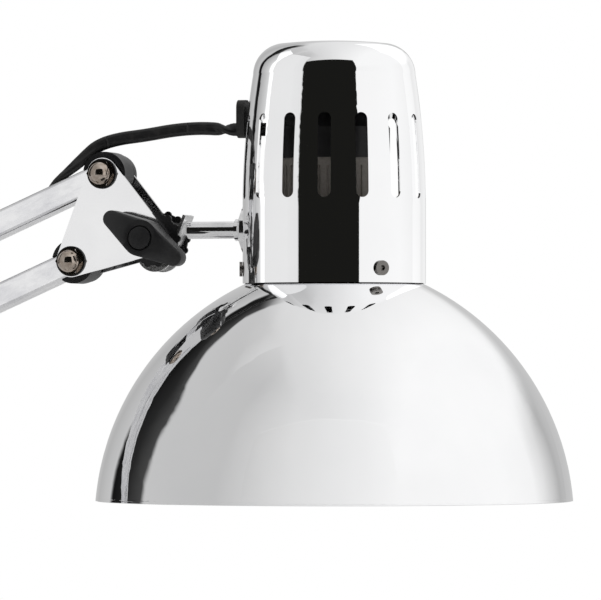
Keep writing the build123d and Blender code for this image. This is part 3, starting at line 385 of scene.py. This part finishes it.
# ---------------------------------------------------------------- cord round the elbow
# The same cord leaves the upper bar's slot, bows out round the back of the elbow and goes into the lower bar,
# with spare length for the arm's whole swing.
rear_foot = (-17, 62)
lower_slope, lower_length = 115, 360
elbow_steps = slot_steps + [(-1, 12.8)]
elbow_route = along_bar(arm_elbow, upper_slope, elbow_steps)
elbow_route += [(-154.5, 0, 450.5), (-165, 0, 438), (-172.5, 0, 423), (-178, 0, 407), (-181, 0, 394)]
elbow_route += along_bar(rear_foot, lower_slope, [(lower_length - d, h) for d, h in reversed(elbow_steps)])
elbow_join = halfway(elbow_route[7], elbow_route[8])
bridge_joint("elbow_cord_top", elbow_route[:8] + [elbow_join], "elbow_cord_upper")
bridge_joint("elbow_cord_back", [elbow_join] + elbow_route[8:], "elbow_cord_lower")

# ---------------------------------------------------------------- cord into the spindle
# At the foot of the lower bar the cord comes out of the inner face and drops down the middle of the spindle.
foot_route = along_bar(rear_foot, lower_slope, [(47, 0), (41.5, 0), (33.5, -6.2)])
foot_route += [(-14.5, 0, 83.5), (-5.5, 0, 73), (0, 0, 60.5), (0, 0, 51)]
bridge_joint("foot_cord_drop", foot_route, "foot_cord")

# ---------------------------------------------------------------- mains lead
# 1.8 m of the same flat cord, out of the base's gland, through an in-line switch and into a neat coil of two
# layers on the table behind the lamp. The turns stand on edge, as flat cord does when it is wound.
coil_x, coil_y = -145, 55
mains_route = [(-117, 0, 5.5), (-125, 0, 5.5), (-138, -7, 3.9), (-149, -20, 2.3), (-163, -33, 1.8), (-178, -33, 1.8),
               (-190.5, -24, 2.3), (-197, -9, 4.5), (-197, 2, 4.5), (-197, 28, 4.5), (-197, 54, 4.5), (-197, 62, 4.5),
               (-192.5, 76.5, 3.2), (-181.5, 87, 2.7), (-168, 91, 2.7)]
turns_in_layer = 4.3
points_in_turn = 14
inner_turn, outer_turn = 21.4, 35.6
lead_angle = radians(112)
steps_in_layer = int(turns_in_layer * points_in_turn)
for step in range(steps_in_layer + 1):
    share = step / steps_in_layer
    swing = lead_angle - share * turns_in_layer * 2 * pi
    reach = outer_turn + (inner_turn - outer_turn) * share
    mains_route.append((coil_x + reach * cos(swing), coil_y + reach * sin(swing), 2.7))
start_angle = lead_angle - turns_in_layer * 2 * pi
for step in range(2, steps_in_layer + 3):
    share = step / (steps_in_layer + 2)
    swing = start_angle - step * 2 * pi / points_in_turn
    reach = inner_turn + (outer_turn - inner_turn) * share
    lift = 2.7 + 5.25 * min(1.0, (step - 1) / 5)
    mains_route.append((coil_x + reach * cos(swing), coil_y + reach * sin(swing), lift))
last_angle = start_angle - (steps_in_layer + 2) * 2 * pi / points_in_turn
while degrees(last_angle) % 360 > 125 or degrees(last_angle) % 360 < 100:
    last_angle -= 2 * pi / points_in_turn
    mains_route.append((coil_x + outer_turn * cos(last_angle), coil_y + outer_turn * sin(last_angle), 7.9))
mains_route += [(-150.5, 94.3, 7.6), (-143.5, 96.2, 7.1), (-138.5, 96.5, 7)]
mains_route = metres(mains_route)
places = cord_line(mains_route)
mains_cord = flat_cord("mains_cord", places, [(0, 0), (0.125, 0), (0.155, 90), (0.985, 90), (1, 90)])
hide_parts("mains_lead", "lead_to_coil", "mains_coil")
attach(mains_cord, "root")

# ---------------------------------------------------------------- shade
# A deep dome spun from thin sheet, chromed inside and out, with its rim rolled into a fine bead.
mirror = Finish("mirror_chrome", {"Metallic": 1.0, "IOR": 1.5})
spot = mirror.place()
haze = mirror.noise(spot, 22, 4)
wave = mirror.noise(spot, 9, 1, 0.3)
mirror.set({
    "Base Color": mirror.tint(mirror.span(haze, 0.35, 0.7), (0.955, 0.955, 0.96), (0.915, 0.918, 0.925)),
    "Roughness": mirror.span(haze, 0.3, 0.75, 0.015, 0.045),
    "Normal": mirror.relief(wave, 0.0006, 0.22),
})


def dress(finish, *nodes):
    """Gives CAD pieces a finish."""
    for node in nodes:
        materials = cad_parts[node].data.materials
        materials.clear()
        materials.append(finish.material)


dress(mirror, "dome_shade")
lit_front.objects.link(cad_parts["dome_shade"])


def place_mesh(piece, matrix):
    """Moves a piece's mesh into its place and leaves its object at the origin."""
    bpy.context.view_layer.update()
    piece.data.transform(piece.matrix_world)
    piece.matrix_world = Matrix.Identity(4)
    piece.data.transform(matrix)


bead_radius = 0.0007
bead_place = (head_x / 1000, 0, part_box("dome_shade")[0].z + bead_radius)
clear_selection()
bpy.ops.mesh.primitive_torus_add(major_segments=160, minor_segments=12, major_radius=0.0930, minor_radius=bead_radius,
                                 location=bead_place)
rim_bead = bpy.context.object
rim_bead.name = "shade_rim_bead"
bpy.ops.object.mode_set(mode="EDIT")
bpy.ops.mesh.select_all(action="SELECT")
bpy.ops.transform.resize(value=(1, 1, 1.25), center_override=bead_place)
bpy.ops.mesh.faces_shade_smooth()
bpy.ops.object.mode_set(mode="OBJECT")
place_mesh(rim_bead, Matrix.Identity(4))
rim_bead.data.materials.append(mirror.material)
lit_front.objects.link(rim_bead)
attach(rim_bead, "head")

# ---------------------------------------------------------------- cap
# A deep-drawn chromed cap with a ring of upright vents, which let the bulb's heat out.
# Three small dark screws hold it to a collar at the shade's crown.
dress(mirror, "head_cap")
lit_sides.objects.link(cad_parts["head_cap"])

screw_steel = Finish("dark_screw_steel", {"Metallic": 1.0, "Base Color": (0.20, 0.19, 0.18)})
spot = screw_steel.place()
rub = screw_steel.noise(spot, 900, 3)
screw_steel.set({"Roughness": screw_steel.span(rub, 0.3, 0.7, 0.22, 0.40)})
dress(screw_steel, "cap_screws")

# ---------------------------------------------------------------- plain steel parts
# Bolts, springs, nuts, spindle and collar: steel with a thin satin zinc plate, a little cloudy.
zinc = Finish("zinc_plate", {"Metallic": 1.0})
spot = zinc.place()
cloud = zinc.noise(spot, 120, 5, 0.6)
scratch = zinc.noise(zinc.place(stretch=(40, 900, 900)), 1.0, 3)
zinc.set({
    "Base Color": zinc.tint(zinc.span(cloud, 0.3, 0.7), (0.74, 0.74, 0.745), (0.56, 0.56, 0.57)),
    "Roughness": zinc.span(cloud, 0.3, 0.7, 0.20, 0.36),
    "Normal": zinc.relief(scratch, 0.00003, 0.4),
})
dress(zinc, "base_nut", "base_spindle", "turret_bolts", "elbow_bolts", "head_bolts", "clamp_bolt", "rod_nut",
      "shade_collar")

# ---------------------------------------------------------------- yoke
# Folded from thick zinc-plated sheet, bright where it was cut and pressed.
yoke_zinc = Finish("bright_zinc", {"Metallic": 1.0})
spot = yoke_zinc.place()
cloud = yoke_zinc.noise(spot, 260, 5, 0.6)
yoke_zinc.set({
    "Base Color": yoke_zinc.tint(yoke_zinc.span(cloud, 0.35, 0.65), (0.90, 0.90, 0.90), (0.62, 0.62, 0.62)),
    "Roughness": yoke_zinc.span(cloud, 0.3, 0.7, 0.18, 0.42),
})
dress(yoke_zinc, "rod_yoke")

# ---------------------------------------------------------------- rod, flange and base trim
# Turned and polished parts, plated like the cap but drawn finer, with faint turning lines.
turned_chrome = Finish("turned_chrome", {"Metallic": 1.0})
spot = turned_chrome.place(stretch=(1400, 30, 30))
ring = turned_chrome.noise(spot, 1.0, 3)
haze = turned_chrome.noise(turned_chrome.place(), 90, 4)
turned_chrome.set({
    "Base Color": turned_chrome.tint(turned_chrome.span(haze, 0.35, 0.7), (0.93, 0.93, 0.93), (0.78, 0.78, 0.79)),
    "Roughness": turned_chrome.span(haze, 0.3, 0.7, 0.05, 0.13),
    "Normal": turned_chrome.relief(ring, 0.00002, 0.35),
})
dress(turned_chrome, "head_rod", "rod_flange", "base_socket")
dress(mirror, "base_cover")

# ---------------------------------------------------------------- bracket plates
# Flat pressed plates of chromed steel, polished before plating, that hold the bars' ends.
plate_chrome = Finish("plate_chrome", {"Metallic": 1.0})
spot = plate_chrome.place()
haze = plate_chrome.noise(spot, 45, 5, 0.55)
plate_chrome.set({
    "Base Color": plate_chrome.tint(plate_chrome.span(haze, 0.3, 0.7), (0.96, 0.96, 0.965), (0.90, 0.90, 0.91)),
    "Roughness": plate_chrome.span(haze, 0.3, 0.7, 0.05, 0.12),
    "Normal": plate_chrome.relief(plate_chrome.noise(spot, 60, 2), 0.0001, 0.12),
})
dress(plate_chrome, "head_plates", "elbow_plates", "turret_plates")
for node in ("head_plates", "elbow_plates", "turret_plates"):
    lit_arms.objects.link(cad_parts[node])

# ---------------------------------------------------------------- domed nuts
# Warm, smoky chrome over brass, the one part of the head that isn't silver.
smoke = Finish("smoked_chrome", {"Metallic": 1.0})
spot = smoke.place()
haze = smoke.noise(spot, 500, 4)
smoke.set({
    "Base Color": smoke.tint(smoke.span(haze, 0.3, 0.7), (0.56, 0.49, 0.43), (0.34, 0.28, 0.23)),
    "Roughness": smoke.span(haze, 0.3, 0.7, 0.07, 0.16),
})
dress(smoke, "dome_nuts")

# ---------------------------------------------------------------- bars
# Square aluminium tube, drawn and bright polished: long faint die lines, and a cloudy patch where it was handled.
for name, slope, nodes in (
    ("lower_tube_aluminium", lower_slope, ("lower_bar", "lower_link_bar")),
    ("upper_tube_aluminium", upper_slope, ("upper_bar", "upper_link_bar")),
):
    tube = Finish(name, {"Metallic": 1.0})
    lean = (0, radians(slope), 0)
    lines = tube.noise(tube.place(stretch=(6, 900, 900), turn=lean), 1.0, 4, 0.6)
    cloud = tube.noise(tube.place(stretch=(60, 160, 160), turn=lean), 1.0, 5, 0.65)
    tube.set({
        "Base Color": tube.tint(tube.span(cloud, 0.40, 0.72), (0.93, 0.93, 0.94), (0.70, 0.70, 0.73)),
        "Roughness": tube.span(lines, 0.3, 0.7, 0.10, 0.22),
        "Normal": tube.relief(lines, 0.00003, 0.30),
    })
    dress(tube, *nodes)
    for node in nodes:
        lit_arms.objects.link(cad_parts[node])

# ---------------------------------------------------------------- moulded black parts
# Glass-filled nylon: the bars' round ends, friction discs, washers, bolt caps, switch and plug, all with a fine
# spark-eroded grain that goes slightly grey where it is rubbed.
nylon = Finish("black_nylon", {"IOR": 1.5})
spot = nylon.place()
grain = nylon.noise(spot, 1700, 3, 0.6)
rub = nylon.noise(spot, 70, 4)
nylon.set({
    "Base Color": nylon.tint(nylon.span(rub, 0.42, 0.75), (0.010, 0.010, 0.011), (0.030, 0.030, 0.031)),
    "Roughness": nylon.span(rub, 0.3, 0.7, 0.34, 0.50),
    "Normal": nylon.relief(grain, 0.00006, 0.45),
})
dress(nylon, "lower_bar_ends", "lower_link_ends", "upper_bar_ends", "upper_link_ends", "nut_washers", "bolt_caps",
      "knuckle_discs", "switch_body", "switch_rocker", "plug_body", "lampholder_cover")

# ---------------------------------------------------------------- rubber fittings and hidden leads
# The pad under the base and the cord's gland and grommet are moulded rubber, dull, with a light bloom.
# The leads inside the bars and the base are the same flat cord as outside.
rubber = Finish("soft_rubber", {"IOR": 1.5})
spot = rubber.place()
bloom = rubber.noise(spot, 140, 4)
rubber.set({
    "Base Color": rubber.tint(rubber.span(bloom, 0.4, 0.75), (0.014, 0.014, 0.014), (0.040, 0.039, 0.037)),
    "Roughness": rubber.span(bloom, 0.3, 0.7, 0.50, 0.70),
    "Normal": rubber.relief(rubber.noise(spot, 2200, 2), 0.00005, 0.4),
})
dress(rubber, "base_pad", "cord_gland", "cord_grommet")
dress(sheath, "lead_in_base", "lead_in_spindle", "lead_in_lower_bar", "lead_in_upper_bar")

# ---------------------------------------------------------------- base weight
# A sand-cast iron disc under the chromed cover, rough and unpainted. It keeps the lamp from tipping.
# It shows only from below, round the rubber pad.
iron = Finish("cast_iron", {"Metallic": 0.4, "IOR": 1.6})
spot = iron.place()
skin = iron.noise(spot, 240, 6, 0.7)
iron.set({
    "Base Color": iron.tint(skin, (0.05, 0.05, 0.05), (0.13, 0.12, 0.11)),
    "Roughness": iron.span(skin, 0.3, 0.7, 0.6, 0.85),
    "Normal": iron.relief(skin, 0.0006, 0.6),
})
dress(iron, "base_weight")

# ---------------------------------------------------------------- plug pins
# Two turned brass pins moulded into the plug, bright at their tips and a little tarnished.
# They lie on the table with the plug, beside the coil of lead.
brass = Finish("pin_brass", {"Metallic": 1.0})
tarnish = brass.noise(brass.place(), 300, 4)
brass.set({
    "Base Color": brass.tint(brass.span(tarnish, 0.35, 0.7), (0.88, 0.68, 0.34), (0.62, 0.44, 0.20)),
    "Roughness": brass.span(tarnish, 0.3, 0.7, 0.18, 0.34),
})
dress(brass, "plug_pins")

# ---------------------------------------------------------------- lampholder and bulb
# Warm grey moulded holder with fine upright ribs, and a frosted screw-in bulb.
phenolic = Finish("grey_phenolic", {"IOR": 1.55})
spot = phenolic.place()
speck = phenolic.noise(spot, 900, 4, 0.7)
phenolic.set({
    "Base Color": phenolic.tint(phenolic.span(speck, 0.3, 0.7), (0.34, 0.31, 0.28), (0.46, 0.43, 0.39)),
    "Roughness": phenolic.span(speck, 0.3, 0.7, 0.42, 0.58),
})
dress(phenolic, "lampholder_skirt", "holder_ring")

thread_metal = Finish("bulb_thread", {"Metallic": 1.0})
haze = thread_metal.noise(thread_metal.place(), 400, 4)
thread_metal.set({
    "Base Color": thread_metal.tint(haze, (0.80, 0.80, 0.80), (0.62, 0.62, 0.63)),
    "Roughness": thread_metal.span(haze, 0.3, 0.7, 0.22, 0.4),
})
dress(thread_metal, "bulb_base")

frost = Finish("frosted_glass", {"IOR": 1.5, "Transmission Weight": 0.45, "Coat Weight": 0.3})
mist = frost.noise(frost.place(), 60, 3)
frost.set({
    "Base Color": frost.tint(mist, (0.97, 0.96, 0.94), (0.93, 0.92, 0.90)),
    "Roughness": frost.span(mist, 0.3, 0.7, 0.34, 0.46),
})
dress(frost, "bulb_glass")

# ---------------------------------------------------------------- tension springs
# Close-wound steel wire springs, a pair on each arm, that carry the weight of the arm and the head.
# Each ends in a half hook, over a grooved post at one end and a stud on the bar at the other.
def tension_spring(name, post, hook, side, finish):
    """One spring from its post to its hook, both (x, z) in millimetres, wound close over most of its length."""
    start = Vector((post[0], side, post[1]))
    reach = Vector((hook[0], side, hook[1])) - start
    along = reach.normalized()
    across = Vector((0, 1, 0))
    third = along.cross(across)
    wire, winding, pitch = 0.65, 4.5, 1.36
    post_hook, stud_hook = 3.3, 2.7
    steps_in_turn = 12
    first, last = 20.0, reach.length - 15.0
    places = []
    for step in range(9):
        angle = radians(-150 + step * 30)
        places.append(start - along * (post_hook * cos(angle)) + third * (post_hook * sin(angle)))
    places.append(start + along * (first - 6))
    steps = int((last - first) / pitch) * steps_in_turn
    for step in range(steps + 1):
        angle = step * 2 * pi / steps_in_turn
        middle = start + along * (first + (last - first) * step / steps)
        places.append(middle + across * (winding * sin(angle)) + third * (winding * cos(angle)))
    places.append(start + along * (last + 6))
    for step in range(9):
        angle = radians(-90 + step * 30)
        places.append(start + reach - along * (stud_hook * cos(angle)) + third * (stud_hook * sin(angle)))
    curve = bpy.data.curves.new(name, "CURVE")
    curve.dimensions = "3D"
    curve.bevel_depth = wire / 1000
    curve.bevel_resolution = 1
    curve.use_fill_caps = True
    spline = curve.splines.new("POLY")
    spline.points.add(len(places) - 1)
    for control, place in zip(spline.points, places):
        control.co = (*(place / 1000), 1)
    line = bpy.data.objects.new(name + "_line", curve)
    data = bpy.data.meshes.new_from_object(line)
    data.name = name
    bpy.data.objects.remove(line)
    for face in data.polygons:
        face.use_smooth = True
    data.materials.clear()
    data.materials.append(finish.material)
    spring = bpy.data.objects.new(name, data)
    bpy.context.scene.collection.objects.link(spring)
    return spring


def stud_on_bar(pivot, slope):
    """Where a spring's stud is, 150 mm up a bar from its pivot."""
    return (pivot[0] + 150 * cos(radians(slope)), pivot[1] + 150 * sin(radians(slope)))


front_foot = (17, 62)
link_elbow = (-150.143, 412.771)
swing_share = 0.2
for post, hook, fixed, moving, node in (
    (front_foot, stud_on_bar(rear_foot, lower_slope), "turret", "lower_arm", "lower_springs"),
    (arm_elbow, stud_on_bar(link_elbow, upper_slope), "elbow", "upper_link", "upper_springs"),
):
    for word, side in (("near", -15.6), ("far", 15.6)):
        spring = tension_spring(node + "_" + word, post, hook, side, zinc)
        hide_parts(node)
        swung = [foot + (head - foot) * swing_share for foot, head in zip(post, hook)]
        post[0] / 1000
        post[1] / 1000
        swung[0] / 1000
        swung[1] / 1000
        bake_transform(spring)

# ---------------------------------------------------------------- wing knob
# One nylon moulding: a hub with two blunt wings that slope back to their tips, drawn together into a long diamond,
# and a raised disc in a groove at the middle that covers the brass thread.
knuckle = (231.309, 574.211)
wing_slant = radians(-31)
clear_selection()
bpy.ops.mesh.primitive_cylinder_add(vertices=36, radius=0.0072, depth=0.0115, location=(0, 0, 0.01875))
knob = bpy.context.object
knob.name = "wing_knob_moulding"
bpy.ops.object.mode_set(mode="EDIT")
for way in (1, -1):
    bpy.ops.mesh.primitive_cylinder_add(vertices=20, radius=0.0034, depth=0.0072, location=(
        cos(wing_slant) * 0.0148 * way, sin(wing_slant) * 0.0148 * way, 0.0178))
bpy.ops.mesh.select_all(action="SELECT")
bpy.ops.mesh.convex_hull()
bpy.ops.mesh.select_all(action="SELECT")
bpy.ops.mesh.dissolve_limited(angle_limit=radians(3))
bpy.ops.object.mode_set(mode="OBJECT")


def pick_faces(piece, test):
    """Selects the faces of a piece whose middle and normal pass a test, and goes back into edit mode."""
    bpy.ops.object.mode_set(mode="EDIT")
    bpy.ops.mesh.select_mode(type="FACE")
    bpy.ops.mesh.select_all(action="DESELECT")
    bpy.ops.object.mode_set(mode="OBJECT")
    for face in piece.data.polygons:
        face.select = test(face.center + piece.location, face.normal)
    bpy.ops.object.mode_set(mode="EDIT")


pick_faces(knob, lambda middle, normal: normal.z > 0.99 and middle.z > 0.0243)
bpy.ops.mesh.inset(thickness=0.0022, depth=0)
bpy.ops.mesh.inset(thickness=0.0004, depth=-0.0007)
bpy.ops.mesh.inset(thickness=0.0003, depth=0.0016)
bpy.ops.object.mode_set(mode="OBJECT")
soften = knob.modifiers.new("soften", "BEVEL")
soften.width = 0.0008
soften.segments = 3
soften.limit_method = "ANGLE"
soften.angle_limit = radians(30)
bpy.ops.object.modifier_apply(modifier="soften")
bpy.ops.object.mode_set(mode="EDIT")
bpy.ops.mesh.select_all(action="SELECT")
bpy.ops.mesh.remove_doubles(threshold=0.00001)
bpy.ops.mesh.normals_make_consistent(inside=False)
bpy.ops.object.mode_set(mode="OBJECT")
bpy.ops.object.shade_smooth_by_angle(angle=radians(35))
outward = Matrix(((1, 0, 0, knuckle[0] / 1000), (0, 0, -1, 0), (0, 1, 0, knuckle[1] / 1000), (0, 0, 0, 1)))
place_mesh(knob, outward)
knob.data.materials.clear()
knob.data.materials.append(nylon.material)
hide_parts("wing_knob")
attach(knob, "knob")
